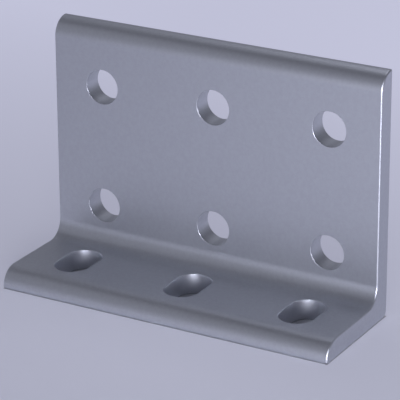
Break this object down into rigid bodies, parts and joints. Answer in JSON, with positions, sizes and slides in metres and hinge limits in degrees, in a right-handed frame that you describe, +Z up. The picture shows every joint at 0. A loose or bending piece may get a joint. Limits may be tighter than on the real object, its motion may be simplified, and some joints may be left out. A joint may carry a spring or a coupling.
{
  "type": "angle bracket",
  "caption": "Unequal-leg angle bracket cut from a rounded extrusion, with round bolt holes in the tall leg and front-to-back slots in the short leg.",
  "frame": {"origin": "middle of the bracket's outline in plan, on the underside of the short leg", "axes": "+X along the extrusion, +Y towards the back face of the tall leg, +Z up"},
  "size_m": [0.086, 0.03, 0.06],
  "materials": {
    "aluminium": "satin natural anodised, with a fine mottled grain and brighter broken edges"
  },
  "bodies": {
    "root": {"bracket": "aluminium"}
  },
  "joints": []
}
